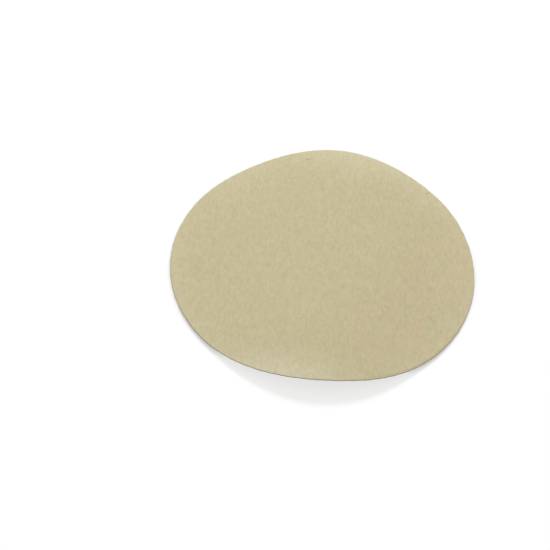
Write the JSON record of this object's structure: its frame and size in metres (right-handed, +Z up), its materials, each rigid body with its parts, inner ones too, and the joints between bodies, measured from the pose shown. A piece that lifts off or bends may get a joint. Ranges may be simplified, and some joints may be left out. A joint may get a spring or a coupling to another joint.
{
  "type": "filter paper disc",
  "caption": "Round sheet of soft unbleached filter paper, lying slightly curled, that lines a funnel or a perforated plate and holds back solids.",
  "frame": {"origin": "middle of the disc's footprint, on the surface that it lies on", "axes": "+Z up, out of the upper face; the hump's crest runs about along Y, and the longer bend down is towards +X"},
  "size_m": [0.1092, 0.11, 0.007],
  "materials": {
    "filter_paper": "matte unbleached tan paper with a fine streaky grain"
  },
  "bodies": {
    "root": {"paper_disc": "filter_paper"}
  },
  "joints": []
}
